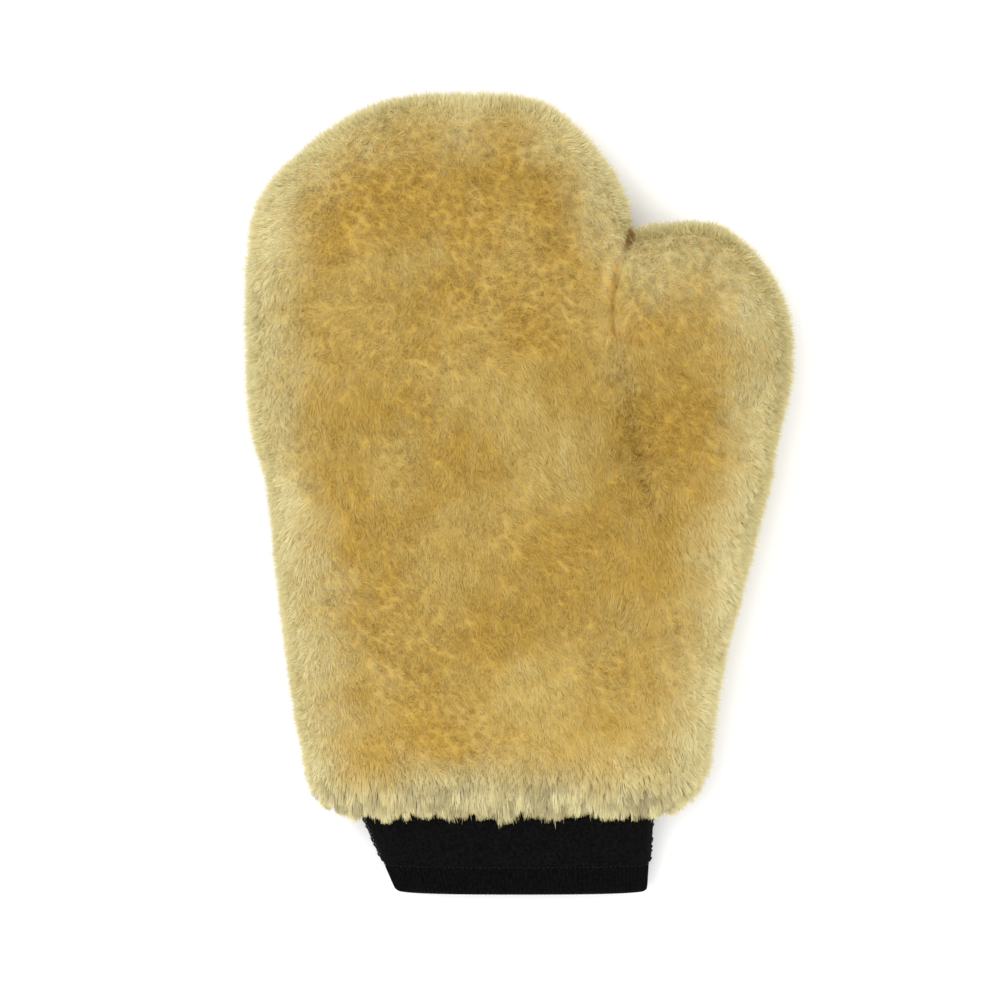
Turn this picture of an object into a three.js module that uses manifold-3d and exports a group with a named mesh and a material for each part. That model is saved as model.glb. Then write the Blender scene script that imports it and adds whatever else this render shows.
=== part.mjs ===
// A sheepskin wash mitt with a set-in thumb and a black knitted cuff, lying flat.
// Two sheepskin panels, palm up and back down, are sewn together round the edge, wool outside.
// Millimetres, +Z up, fingers towards +Y, thumb towards +X. The origin is under the middle of
// the mitt, on the surface that it lies on.
import * as THREE from "three";
import { mergeVertices } from "three/addons/utils/BufferGeometryUtils.js";
import Module from "manifold-3d";

const wasm = await Module();
wasm.setup();

// ---- Driving dimensions -------------------------------------------------------------------

const GAP = 0.3; // left between neighbouring solids
const PELT = 1.5; // thickness of the leather
const ROOM = 18; // height of the room for the hand, between the pelts
const PILE_OVER = 20; // sheared wool on the palm side
const PILE_UNDER = 12; // wool under the mitt, pressed by what lies on it
const SEAM_Z = PILE_UNDER + PELT + ROOM / 2; // height of the seam that joins the two panels

const WRIST_Y = -104; // the panels end and the cuff begins
const WRIST_X = -6.5; // middle of the wrist
const CUFF_LENGTH = 42; // from the wrist seam to the hem, measured along Y
const WRIST_HALF = { x: 56, z: 10.5 }; // half width and half height of the cuff at the wrist
const HEM_HALF = { x: 46.3, z: 12.5 }; // the same at the hem
const HEM_X = 1; // middle of the hem, which lies a little towards the thumb
const KNIT = 1.1; // thickness of one layer of knit
const CUFF_WALL = 3.4; // two layers and the slot for the elastic
const ELASTIC = { thick: 0.8, wide: 8 };
const RING_POWER = 2.5; // how square the flattened cuff is

const THUMB_PIVOT = [62.4, 23.5]; // middle of the round gusset that the thumb is set in with
const GUSSET_RADIUS = 36;
const SWING_CLEARANCE = 0.3; // between the gusset and the panels, on each side of the cut

const WOOL_POWER = 3.2; // roundness of the pile's edge: a higher power is squarer
const PELT_POWER = 4;
const OUTLINE_STEPS = 52;
const DOME_RINGS = 5;
const GUSSET_SIDES = 60;
const CUFF_SIDES = 48;
const SMOOTHING = 0.04; // the most that a solid's surface may move when it is simplified
const UNDER_FLATTENING = 2; // how far the lower pile would bulge below the surface if it were free
const BEAD = 1.1; // half width of a sewn seam allowance bound with thread

// ---- Outlines, seen from above, anticlockwise ---------------------------------------------

const HAND_MIDDLE = [-10, 5];
const THUMB_MIDDLE = [63, 40];

const HAND_WOOL = [
  [-5, -116], [52, -114], [62, -109.5], [68, -101], [71, -82], [75, -58], [81, -36], [87, -12],
  [92, 10], [88, 35], [62, 52], [42, 54], [34, 57.5], [33.5, 71], [35.5, 84], [40, 96],
  [38.5, 108], [31, 122],
  [18, 136], [6, 143.5], [-20, 145.5], [-45, 144], [-62, 137], [-80, 124], [-94, 108],
  [-98.5, 88], [-99, 55], [-97.5, 25], [-92, 5], [-88.5, -25], [-84.5, -58], [-80, -88],
  [-75, -107], [-62, -115],
];
const THUMB_WOOL = [
  [42.5, 97], [36, 86], [32.5, 72], [31, 57], [29, 40], [30, 8], [44, -18], [68, -20], [88, 0],
  [94, 22], [99, 48], [96, 70], [86, 87], [71, 98], [56, 98.5],
];
// The hand's pelt runs on past the wrist, where it is cut straight across.
const HAND_PELT = [
  [-4, -168], [52, -165], [53, -104], [57, -75], [66, -40], [74, -8], [77, 12], [68, 34],
  [48, 44], [32, 46], [27, 58], [26, 85], [23, 104], [13, 119], [-4, 129], [-30, 130],
  [-54, 124], [-72, 109], [-83, 88], [-84, 55], [-82, 25], [-77, -15], [-72, -60], [-67, -95],
  [-65, -110], [-64, -165],
];
const THUMB_PELT = [
  [49, 84], [44, 66], [40, 50], [36, 30], [38, 5], [50, -12], [66, -12], [76, 5], [80, 25],
  [84, 50], [82, 68], [74, 80], [62, 86],
];
// The line where the wool of the fingers and the wool of the thumb meet, from the crotch up.
const SLIT = [[32.5, 57], [33, 71], [35.8, 85], [41.3, 96.5], [43, 170]];

// ---- Solids -------------------------------------------------------------------------------

// A three.js geometry as a manifold solid, for joining and cutting.
function solid(geometry) {
  const bare = geometry.index ? geometry.toNonIndexed() : geometry.clone();
  bare.deleteAttribute("normal");
  bare.deleteAttribute("uv");
  const merged = mergeVertices(bare, 1e-4);
  const mesh = new wasm.Mesh({
    numProp: 3,
    vertProperties: merged.attributes.position.array,
    triVerts: new Uint32Array(merged.index.array),
  });
  return new wasm.Manifold(mesh);
}

// The one body of a solid that is worth keeping: cutting leaves slivers where curves cross.
function mainBody(made) {
  const bodies = made.simplify(SMOOTHING).decompose();
  return bodies.reduce((best, body) => (body.volume() > best.volume() ? body : best));
}

// A manifold solid as a three.js geometry.
function geometryOf(made) {
  const { numProp, numVert, vertProperties, triVerts } = mainBody(made).getMesh();
  const places = new Float32Array(numVert * 3);
  for (let i = 0; i < numVert; i++) {
    places.set(vertProperties.subarray(i * numProp, i * numProp + 3), i * 3);
  }
  const geometry = new THREE.BufferGeometry();
  geometry.setAttribute("position", new THREE.BufferAttribute(places, 3));
  geometry.setIndex(new THREE.BufferAttribute(triVerts, 1));
  return geometry;
}

// A geometry from vertices and triangles given as arrays of three numbers.
function meshOf(vertices, triangles) {
  const geometry = new THREE.BufferGeometry();
  geometry.setAttribute("position", new THREE.Float32BufferAttribute(vertices.flat(), 3));
  geometry.setIndex(triangles.flat());
  return geometry;
}

// A straight-sided block over an outline, from one height to another.
function prism(outline, low, high) {
  const shape = new THREE.Shape(outline.map(([x, y]) => new THREE.Vector2(x, y)));
  const options = { depth: high - low, bevelEnabled: false, curveSegments: 1 };
  return solid(new THREE.ExtrudeGeometry(shape, options)).translate([0, 0, low]);
}

function block(low, high) {
  const size = high.map((value, i) => value - low[i]);
  const middle = high.map((value, i) => (value + low[i]) / 2);
  return solid(new THREE.BoxGeometry(...size)).translate(middle);
}

// A smooth closed loop through a few points.
function smoothLoop(points) {
  const corners = points.map(([x, y]) => new THREE.Vector3(x, y, 0));
  const curve = new THREE.CatmullRomCurve3(corners, true, "centripetal");
  return curve.getSpacedPoints(OUTLINE_STEPS).slice(0, OUTLINE_STEPS).map((p) => [p.x, p.y]);
}

// A loop moved inwards, or outwards where the distance is negative.
function inset(loop, distance) {
  return loop.map(([x, y], i) => {
    const before = loop[(i + loop.length - 1) % loop.length];
    const after = loop[(i + 1) % loop.length];
    const along = [after[0] - before[0], after[1] - before[1]];
    const length = Math.hypot(...along);
    return [x - (along[1] / length) * distance, y + (along[0] / length) * distance];
  });
}

// The share of its full height that a dome has at r, from 0 in the middle to 1 at the edge.
const domeShare = (r, power) => (1 - r ** power) ** (1 / power);

// Half a pillow: flat on the seam's plane, domed over the outline. side is 1 for up, -1 for down.
function halfPillow(loop, middle, height, power, side) {
  const steps = loop.length;
  const vertices = [];
  for (let ring = 0; ring < DOME_RINGS; ring++) {
    const r = 1 - (ring / DOME_RINGS) ** 2;
    const z = SEAM_Z + side * height * domeShare(r, power);
    for (const [x, y] of loop) {
      vertices.push([middle[0] + (x - middle[0]) * r, middle[1] + (y - middle[1]) * r, z]);
    }
  }
  const peak = vertices.push([...middle, SEAM_Z + side * height]) - 1;
  const base = vertices.push([...middle, SEAM_Z]) - 1;
  const triangles = [];
  const add = (a, b, c) => triangles.push(side > 0 ? [a, b, c] : [a, c, b]);
  for (let i = 0; i < steps; i++) {
    const next = (i + 1) % steps;
    for (let ring = 0; ring < DOME_RINGS - 1; ring++) {
      const [low, high] = [ring * steps, (ring + 1) * steps];
      add(low + i, low + next, high + next);
      add(low + i, high + next, high + i);
    }
    const top = (DOME_RINGS - 1) * steps;
    add(top + i, top + next, peak);
    add(next, i, base);
  }
  return solid(meshOf(vertices, triangles));
}

const handWool = smoothLoop(HAND_WOOL);
const thumbWool = smoothLoop(THUMB_WOOL);
const handPelt = smoothLoop(HAND_PELT);
const thumbPelt = smoothLoop(THUMB_PELT);

// The hand's and the thumb's half pillows as one solid.
function doublePillow(hand, thumb, height, power, side) {
  return halfPillow(hand, HAND_MIDDLE, height, power, side)
    .add(halfPillow(thumb, THUMB_MIDDLE, height, power, side));
}

// The pelts' envelope, grown by a distance that may be negative.
function peltPillow(grow, side) {
  return doublePillow(
    inset(handPelt, -grow), inset(thumbPelt, -grow), ROOM / 2 + PELT + grow, PELT_POWER, side,
  );
}

const FAR = 300;
const seamBlock = block([-FAR, -FAR, SEAM_Z - GAP / 2], [FAR, FAR, SEAM_Z + GAP / 2]);
const beyondWrist = block([-FAR, -FAR, -FAR], [FAR, WRIST_Y + GAP, FAR]);
const underground = block([-FAR, -FAR, -FAR], [FAR, FAR, 0]);

// One panel's leather, with the seam's plane and the wrist's edge cut.
function pelt(side) {
  return peltPillow(0, side).subtract(peltPillow(-PELT, side))
    .subtract(seamBlock).subtract(beyondWrist);
}

// One panel's pile: all that the wool fills outside the leather.
function wool(side) {
  const pile = side > 0 ? PILE_OVER : PILE_UNDER + UNDER_FLATTENING;
  return doublePillow(handWool, thumbWool, ROOM / 2 + PELT + pile, WOOL_POWER, side)
    .subtract(peltPillow(GAP, side)).subtract(seamBlock).subtract(beyondWrist)
    .subtract(underground);
}

// The space that belongs to the thumb: the round gusset, and everything past the slit.
function thumbSpace(clearance) {
  const [px, py] = THUMB_PIVOT;
  const gusset = solid(new THREE.CylinderGeometry(
    GUSSET_RADIUS + clearance, GUSSET_RADIUS + clearance, FAR, GUSSET_SIDES,
  )).rotate([90, 0, 0]).translate([px, py, 0]);
  const slit = SLIT.map(([x, y]) => [x - clearance, y]);
  const outer = [[FAR, 170], [FAR, 0], [px + GUSSET_RADIUS * 0.7, 0]];
  return gusset.add(prism([[px, py], ...outer.reverse(), ...slit.reverse()], -FAR, FAR));
}

// ---- Seams --------------------------------------------------------------------------------

// A bead of thread along a path, closed at its ends unless the path is a loop.
function bead(path, radius, sides, steps) {
  const section = new THREE.Shape();
  section.absarc(0, 0, radius, 0, 2 * Math.PI);
  const points = section.getPoints(sides).slice(0, sides);
  return new THREE.ExtrudeGeometry(new THREE.Shape(points), { steps, extrudePath: path });
}

const curveOf = (points, closed = false) =>
  new THREE.CatmullRomCurve3(points.map((p) => new THREE.Vector3(...p)), closed, "centripetal");

// The stretch of a loop from one index to another, wrapping past its end.
function stretch(loop, from, to) {
  const count = (to - from + loop.length) % loop.length;
  return Array.from({ length: count + 1 }, (_, i) => loop[(from + i) % loop.length]);
}

// The index of the loop's point that is nearest to a place.
function nearest(loop, place) {
  const far = loop.map(([x, y]) => Math.hypot(x - place[0], y - place[1]));
  return far.indexOf(Math.min(...far));
}

// The seam allowance, turned inwards, that runs round the inside of the pelts at mid height.
const ALLOWANCE = PELT + GAP + BEAD;
function edgeSeam(loop, from, to) {
  const inner = inset(loop, ALLOWANCE);
  const path = stretch(inner, nearest(inner, from), nearest(inner, to));
  return bead(curveOf(path.map(([x, y]) => [x, y, SEAM_Z])), BEAD, 5, path.length);
}

// The share of the way from a loop's middle to its edge that a place has.
function reachOf(loop, middle, [x, y]) {
  const [dx, dy] = [x - middle[0], y - middle[1]];
  for (let i = 0; i < loop.length; i++) {
    const [ax, ay] = loop[i].map((value, k) => value - middle[k]);
    const [bx, by] = loop[(i + 1) % loop.length].map((value, k) => value - middle[k]);
    const cross = ax * by - ay * bx;
    const u = (dx * by - dy * bx) / cross;
    const v = (ax * dy - ay * dx) / cross;
    if (u >= 0 && v >= 0) return u + v;
  }
  return 0;
}

// Height of the room under the palm's pelt, above the seam's plane.
function roomHeight(place) {
  const reaches = [
    reachOf(inset(handPelt, PELT), HAND_MIDDLE, place),
    reachOf(inset(thumbPelt, PELT), THUMB_MIDDLE, place),
  ];
  return Math.max(...reaches.map((r) => (r < 1 ? (ROOM / 2) * domeShare(r, PELT_POWER) : 0)));
}

// The curved seam that sets the thumb's gusset into one panel, just inside that panel's pelt.
const GUSSET_SEAM = { from: 168, to: 270, inside: 2.2, steps: 20 };
function gussetSeam(side) {
  const { from, to, inside, steps } = GUSSET_SEAM;
  const radius = GUSSET_RADIUS - inside;
  const path = Array.from({ length: steps + 1 }, (_, i) => {
    const angle = THREE.MathUtils.degToRad(from + ((to - from) * i) / steps);
    const x = THUMB_PIVOT[0] + radius * Math.cos(angle);
    const y = THUMB_PIVOT[1] + radius * Math.sin(angle);
    return [x, y, SEAM_Z + side * (roomHeight([x, y]) - BEAD - 2 * GAP)];
  });
  return bead(curveOf(path), BEAD, 5, 20);
}

// The seam allowance of the wrist, a flattened ring inside the panels' edge.
const WRIST_SEAM = { behind: 8, narrower: 3, lower: 3.4 };
function wristSeam() {
  const { behind, narrower, lower } = WRIST_SEAM;
  const half = { x: WRIST_HALF.x - narrower, z: WRIST_HALF.z - lower };
  const ring = Array.from({ length: 48 }, (_, i) => {
    const [x, z] = flattened((2 * Math.PI * i) / 48, half);
    return [WRIST_X + x, WRIST_Y + behind, SEAM_Z + z];
  });
  return ringTube(ring, BEAD * 0.8, 5);
}

// ---- Cuff ---------------------------------------------------------------------------------

// A point on a flattened ring: an ellipse with squarer shoulders.
function flattened(angle, half) {
  const round = (value) => Math.sign(value) * Math.abs(value) ** (2 / RING_POWER);
  return [half.x * round(Math.cos(angle)), half.z * round(Math.sin(angle))];
}

// The middle and the half sizes of the cuff at a distance along it.
function cuffAt(along) {
  const t = along / CUFF_LENGTH;
  const mix = (a, b) => a + (b - a) * t;
  return {
    y: WRIST_Y - along,
    x: mix(WRIST_X, HEM_X),
    z: mix(SEAM_Z, HEM_HALF.z),
    half: { x: mix(WRIST_HALF.x, HEM_HALF.x), z: mix(WRIST_HALF.z, HEM_HALF.z) },
  };
}

// A point in the cuff's wall: angle round the ring, distance along it, depth under its outside.
function cuffPoint(angle, along, depth) {
  const { x, y, z, half } = cuffAt(along);
  const place = flattened(angle, half);
  const [ahead, back] = [flattened(angle + 0.01, half), flattened(angle - 0.01, half)];
  const tangent = [ahead[0] - back[0], ahead[1] - back[1]];
  const length = Math.hypot(...tangent);
  const outward = [tangent[1] / length, -tangent[0] / length];
  return [x + place[0] - outward[0] * depth, y, z + place[1] - outward[1] * depth];
}

// A ring swept from a closed section of [along, depth] points, anticlockwise as depth against along.
function cuffRing(section, steps) {
  const vertices = [];
  const triangles = [];
  const size = section.length;
  for (let i = 0; i < steps; i++) {
    const angle = (2 * Math.PI * (i + 0.5)) / steps;
    for (const [along, depth] of section) vertices.push(cuffPoint(angle, along, depth));
    const here = i * size;
    const next = ((i + 1) % steps) * size;
    for (let k = 0; k < size; k++) {
      const after = (k + 1) % size;
      triangles.push([here + k, next + after, here + after], [here + k, next + k, next + after]);
    }
  }
  const made = solid(meshOf(vertices, triangles));
  return made.volume() > 0 ? made : solid(meshOf(vertices, triangles.map(([a, b, c]) => [a, c, b])));
}

// A half circle of section points round the hem's end, from one depth to another.
function hemTurn(middle, from, to, steps) {
  const radius = (to - from) / 2;
  return Array.from({ length: steps + 1 }, (_, i) => {
    const angle = (Math.PI * i) / steps;
    return [middle + Math.abs(radius) * Math.sin(angle), (from + to) / 2 - radius * Math.cos(angle)];
  });
}

// The knit is one tube folded double at the hem, so its section is a hairpin open at the wrist.
const TURN_AT = CUFF_LENGTH - CUFF_WALL / 2;
function cuffTube() {
  const outside = hemTurn(TURN_AT, 0, CUFF_WALL, 4);
  const slot = hemTurn(TURN_AT, CUFF_WALL - KNIT, KNIT, 2);
  return cuffRing([[0, 0], ...outside, [0, CUFF_WALL], [0, CUFF_WALL - KNIT], ...slot, [0, KNIT]], CUFF_SIDES);
}

// One of the tube's two panels, cut from the other along its sides.
function cuffPanel(side) {
  const slope = Math.atan2(SEAM_Z - HEM_HALF.z, CUFF_LENGTH);
  const other = [side * GAP / 2, -side * FAR].sort((a, b) => a - b);
  const cutter = block([-FAR, -FAR, other[0]], [FAR, FAR, other[1]])
    .rotate([THREE.MathUtils.radToDeg(slope), 0, 0])
    .translate([0, WRIST_Y, SEAM_Z]);
  return cuffTube().subtract(cutter);
}

function cuffElastic() {
  const depth = (CUFF_WALL - ELASTIC.thick) / 2;
  const [low, high] = [TURN_AT - ELASTIC.wide, TURN_AT];
  return cuffRing(
    [[low, depth], [high, depth], [high, depth + ELASTIC.thick], [low, depth + ELASTIC.thick]], CUFF_SIDES,
  );
}

// A tube round a closed ring of points, as a row of sections joined end to end.
function ringTube(ring, radius, sides) {
  const vertices = [];
  const triangles = [];
  ring.forEach((point, i) => {
    const before = new THREE.Vector3(...ring[(i + ring.length - 1) % ring.length]);
    const after = new THREE.Vector3(...ring[(i + 1) % ring.length]);
    const tangent = after.sub(before).normalize();
    const along = new THREE.Vector3(0, 1, 0);
    const across = new THREE.Vector3().crossVectors(tangent, along).normalize();
    for (let k = 0; k < sides; k++) {
      const angle = (2 * Math.PI * k) / sides;
      const place = new THREE.Vector3(...point)
        .addScaledVector(along, radius * Math.cos(angle))
        .addScaledVector(across, radius * Math.sin(angle));
      vertices.push(place.toArray());
      const here = i * sides;
      const next = ((i + 1) % ring.length) * sides;
      const turn = (k + 1) % sides;
      triangles.push([here + k, here + turn, next + turn], [here + k, next + turn, next + k]);
    }
  });
  const made = solid(meshOf(vertices, triangles));
  return made.volume() > 0 ? made : solid(meshOf(vertices, triangles.map(([a, b, c]) => [a, c, b])));
}

// The row of stitches that closes the casing of the elastic, on the outside of the knit.
const THREAD = 0.4;
function hemStitching() {
  const along = TURN_AT - ELASTIC.wide - 1;
  const ring = Array.from({ length: CUFF_SIDES }, (_, i) =>
    cuffPoint((2 * Math.PI * (i + 0.5)) / CUFF_SIDES, along, -THREAD - GAP));
  return ringTube(ring, THREAD, 4);
}

// The overlocked seam down one side of the cuff, standing a little proud of the knit.
const SIDE_SEAM = { from: 3, to: 30, half: 0.7 };
function cuffSideSeam(angle) {
  const { from, to, half } = SIDE_SEAM;
  const ends = [from, to].map((along) => cuffPoint(angle, along, -half - GAP));
  return bead(new THREE.LineCurve3(...ends.map((p) => new THREE.Vector3(...p))), half, 6, 1);
}

// ---- The assembly -------------------------------------------------------------------------

const leather = new THREE.MeshStandardMaterial({ color: 0xd8bd8f, roughness: 0.9 });
const fleece = new THREE.MeshStandardMaterial({ color: 0xc6ae6c, roughness: 0.95 });
const knit = new THREE.MeshStandardMaterial({ color: 0x141313, roughness: 0.9 });
const thread = new THREE.MeshStandardMaterial({ color: 0xcdb98a, roughness: 0.8 });
const blackThread = new THREE.MeshStandardMaterial({ color: 0x1a1919, roughness: 0.7 });
const rubber = new THREE.MeshStandardMaterial({ color: 0x202020, roughness: 0.6 });

const mitt = new THREE.Group();
function place(name, shape, material) {
  const mesh = new THREE.Mesh(shape.isBufferGeometry ? shape : geometryOf(shape), material);
  mesh.name = name;
  mitt.add(mesh);
}

const handKeeps = thumbSpace(SWING_CLEARANCE);
const thumbKeeps = thumbSpace(-SWING_CLEARANCE);
for (const [panel, side] of [["palm", 1], ["back", -1]]) {
  const skin = pelt(side);
  const pile = wool(side);
  place(`${panel}_pelt`, skin.subtract(handKeeps), leather);
  place(`${panel}_wool`, pile.subtract(handKeeps), fleece);
  place(`thumb_${panel}_pelt`, skin.intersect(thumbKeeps), leather);
  place(`thumb_${panel}_wool`, pile.intersect(thumbKeeps), fleece);
  place(`thumb_${panel}_gusset_seam`, gussetSeam(side), thread);
}
place("finger_seam", edgeSeam(handPelt, [28, 64], [-62, -92]), thread);
place("side_seam", edgeSeam(handPelt, [53, -92], [68, -26]), thread);
place("thumb_seam", edgeSeam(thumbPelt, [80, 25], [46, 66]), thread);
place("wrist_seam", wristSeam(), thread);
place("cuff_palm_panel", cuffPanel(1), knit);
place("cuff_back_panel", cuffPanel(-1), knit);
place("cuff_elastic", cuffElastic(), rubber);
place("cuff_hem_stitching", hemStitching(), blackThread);
place("cuff_outer_side_seam", cuffSideSeam(Math.PI), blackThread);
place("cuff_thumb_side_seam", cuffSideSeam(0), blackThread);

export default mitt;
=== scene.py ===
"""A sheepskin wash mitt lying palm up: a pile of single fibres, leather inside, a black knitted cuff."""
import math
from collections import namedtuple
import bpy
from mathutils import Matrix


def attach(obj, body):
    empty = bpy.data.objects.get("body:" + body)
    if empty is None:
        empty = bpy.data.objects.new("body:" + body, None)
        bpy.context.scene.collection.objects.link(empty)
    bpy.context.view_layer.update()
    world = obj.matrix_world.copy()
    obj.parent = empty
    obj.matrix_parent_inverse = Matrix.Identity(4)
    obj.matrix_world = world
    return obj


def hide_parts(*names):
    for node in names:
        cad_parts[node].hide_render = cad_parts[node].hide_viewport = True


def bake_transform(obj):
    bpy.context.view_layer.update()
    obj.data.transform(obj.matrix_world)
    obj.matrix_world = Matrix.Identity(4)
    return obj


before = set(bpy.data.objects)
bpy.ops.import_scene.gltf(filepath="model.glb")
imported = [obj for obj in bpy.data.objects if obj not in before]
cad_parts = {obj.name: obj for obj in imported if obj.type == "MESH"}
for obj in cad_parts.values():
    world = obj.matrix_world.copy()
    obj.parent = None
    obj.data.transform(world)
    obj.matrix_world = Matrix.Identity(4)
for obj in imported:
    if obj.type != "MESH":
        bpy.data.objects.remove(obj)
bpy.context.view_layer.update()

from types import SimpleNamespace

import bpy
import numpy as np
from mathutils import Vector, kdtree, noise
from mathutils.bvhtree import BVHTree

MM = 0.001
SEED = 20
RNG = np.random.default_rng(SEED)
noise.seed_set(SEED)

# ---- Sizes, in millimetres, in the frame of the CAD model -----------------------------------

PELT = 1.5
ROOM = 18.0
PILE_OVER = 20.0
PILE_UNDER = 12.0
SEAM_Z = PILE_UNDER + PELT + ROOM / 2
WOOL_POWER = 3.2  # the superellipse of a pillow's cross section
WRIST_Y = -104.0
CROTCH_Y = 50.0
THUMB_ROOT_Y = -14.0
THUMB_PIVOT = np.array([62.4, 23.5])
GUSSET_RADIUS = 36.0
HAND_MIDDLE = np.array([-10.0, 5.0])
THUMB_MIDDLE = np.array([63.0, 40.0])
HAND_WOOL = [
    [-5, -116], [52, -114], [62, -109.5], [68, -101], [71, -82], [75, -58], [81, -36], [87, -12],
    [92, 10], [89, 36], [71, 57], [55, 61], [45, 65], [41, 74], [42, 84], [42, 93],
    [40, 101], [38, 109], [31, 122],
    [18, 136], [6, 143.5], [-20, 145.5], [-45, 144], [-62, 137], [-80, 124], [-94, 108],
    [-98.5, 88], [-99, 55], [-97.5, 25], [-92, 5], [-88.5, -25], [-84.5, -58], [-80, -88],
    [-75, -107], [-62, -115],
]
THUMB_WOOL = [
    [42, 96.5], [36, 90], [31, 81], [28.5, 71], [28, 57], [22, 38], [18, 5], [32, -30], [62, -40],
    [85, -12], [94, 22], [99, 48], [96, 70], [86, 87], [71, 98], [56, 98.5],
]
SLIT = np.array([[32.5, 57], [33, 71], [35.8, 85], [41.3, 96.5], [43, 170]])
# Where the thumb's pile and the fingers' part: along the slit, and a little way over the crotch.
PARTING = np.array([
    [44, 54.5], [40, 56], [36.5, 56.4], [33.2, 58.5], [32.5, 64], [33, 71], [34.2, 78],
    [35.8, 85], [41.3, 96.5],
])
PARTING_WIDTH = 1.4

CUFF_LENGTH = 42.0
CUFF_WALL = 3.4
WRIST_X, HEM_X = -6.5, 1.0
WRIST_HALF = (56.0, 10.5)
HEM_HALF = (46.3, 12.5)
RING_POWER = 2.5  # the superellipse of the cuff's cross section

# The packed lower part of the pile: how far out it reaches, as a share of the pile's depth.
PACKED_AT_RIM = 0.78
PACKED_MORE_ON_FLAT = 0.105
PACKED_LESS_IN_FRINGE = 0.24
PACKED_IN_SLIT = 0.935
MOUTH_HALF = 11.5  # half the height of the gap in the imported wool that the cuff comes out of
MOUTH_EDGE = 17.0

# The fibres: how many for each square millimetre of the pile's outside, and their ribbons.
PALM_DENSITY, BACK_DENSITY = ((4.4, 2.2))
SKIRT_FIBRES = 2600  # round the cuff, for each unit of the palm's density
MOST_FIBRES = 32000  # in one piece
FIBRE_WIDTH = np.array([0.19, 0.18, 0.15, 0.05])
ALONG = np.linspace(0, 1, len(FIBRE_WIDTH))
ROOT_OVERLAP = 0.06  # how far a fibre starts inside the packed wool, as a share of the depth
LONGEST = 1.16
FLOOR_GAP = 0.15
VALLEY = 3.0  # how far the hand's and the thumb's piles round into each other below the crotch
TUFT_SHARE, WISP_SHARE, LOCK_SHARE = 0.006, 0.06, 0.022  # groups of fibres, per fibre
PILE_COMB = np.array([0.0, -1.6, 0.0])
FRINGE_COMB = np.array([0.0, -3.2, -1.2])


def smoothstep(low, high, value):
    t = np.clip((value - low) / (high - low), 0, 1)
    return t * t * (3 - 2 * t)


def unit(vectors):
    return vectors / np.maximum(np.linalg.norm(vectors, axis=-1, keepdims=True), 1e-9)


def flatness(normals):
    """1 where the pile's outside is level, falling to 0 round its rim."""
    return smoothstep(0.15, 0.85, np.abs(normals[:, 2]))


def near_wrist(y, low=-8.0, high=14.0):
    """1 in the fringe that hangs over the cuff, falling to 0 up the hand."""
    return 1 - smoothstep(WRIST_Y + low, WRIST_Y + high, y)


# ---- Meshes ---------------------------------------------------------------------------------

def mesh_piece(name, points, *face_sets, smooth=True):
    """An object from points in millimetres and sets of faces, each of one corner count."""
    corners = np.concatenate([faces.ravel() for faces in face_sets])
    counts = np.concatenate([np.full(len(faces), faces.shape[1]) for faces in face_sets])
    mesh = bpy.data.meshes.new(name)
    mesh.vertices.add(len(points))
    mesh.vertices.foreach_set("co", (points * MM).astype(np.float32).ravel())
    mesh.loops.add(len(corners))
    mesh.loops.foreach_set("vertex_index", corners.astype(np.int32))
    mesh.polygons.add(len(counts))
    mesh.polygons.foreach_set("loop_start", (np.cumsum(counts) - counts).astype(np.int32))
    mesh.polygons.foreach_set("use_smooth", np.full(len(counts), smooth))
    mesh.update(calc_edges=True)
    piece = bpy.data.objects.new(name, mesh)
    bpy.context.scene.collection.objects.link(piece)
    return piece


def set_attribute(piece, name, values):
    attribute = piece.data.attributes.new(name, "FLOAT", "POINT")
    attribute.data.foreach_set("value", np.asarray(values, np.float32))


def cell_corners(grid):
    """The four corners of each cell of a grid that closes on itself sideways."""
    here, after = grid[:-1], grid[1:]
    return here, after, np.roll(after, -1, 1), np.roll(here, -1, 1)


def grid_faces(grid):
    """Four-cornered faces between the rows of a grid of point numbers that closes sideways."""
    return np.dstack(cell_corners(grid)).reshape(-1, 4)


# ---- Outlines and pillows -------------------------------------------------------------------

def smooth_loop(points, steps, span_steps=24):
    """A closed centripetal Catmull-Rom curve, at even spacing."""
    points = np.array(points, float)
    count = len(points)
    fine = []
    t = np.linspace(0, 1, span_steps, endpoint=False)[:, None]
    for i in range(count):
        p = [points[(i + k) % count] for k in (-1, 0, 1, 2)]
        k1 = np.linalg.norm(p[1] - p[0]) ** 0.5
        k2 = k1 + np.linalg.norm(p[2] - p[1]) ** 0.5
        k3 = k2 + np.linalg.norm(p[3] - p[2]) ** 0.5
        u = k1 + (k2 - k1) * t
        a1 = p[0] * (k1 - u) / k1 + p[1] * u / k1
        a2 = p[1] * (k2 - u) / (k2 - k1) + p[2] * (u - k1) / (k2 - k1)
        a3 = p[2] * (k3 - u) / (k3 - k2) + p[3] * (u - k2) / (k3 - k2)
        b1 = a1 * (k2 - u) / k2 + a2 * u / k2
        b2 = a2 * (k3 - u) / (k3 - k1) + a3 * (u - k1) / (k3 - k1)
        fine.append(b1 * (k2 - u) / (k2 - k1) + b2 * (u - k1) / (k2 - k1))
    fine = np.vstack(fine)
    fine = np.vstack([fine, fine[:1]])
    run = np.r_[0, np.cumsum(np.linalg.norm(np.diff(fine, axis=0), axis=1))]
    even = np.linspace(0, run[-1], steps, endpoint=False)
    return np.column_stack([np.interp(even, run, fine[:, k]) for k in (0, 1)])


Pillow = namedtuple("Pillow", "loop middle")
HAND = Pillow(smooth_loop(HAND_WOOL, 600), HAND_MIDDLE)
THUMB = Pillow(smooth_loop(THUMB_WOOL, 300), THUMB_MIDDLE)


def pillow_height(side):
    return ROOM / 2 + PELT + (PILE_OVER if side > 0 else PILE_UNDER)


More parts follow.
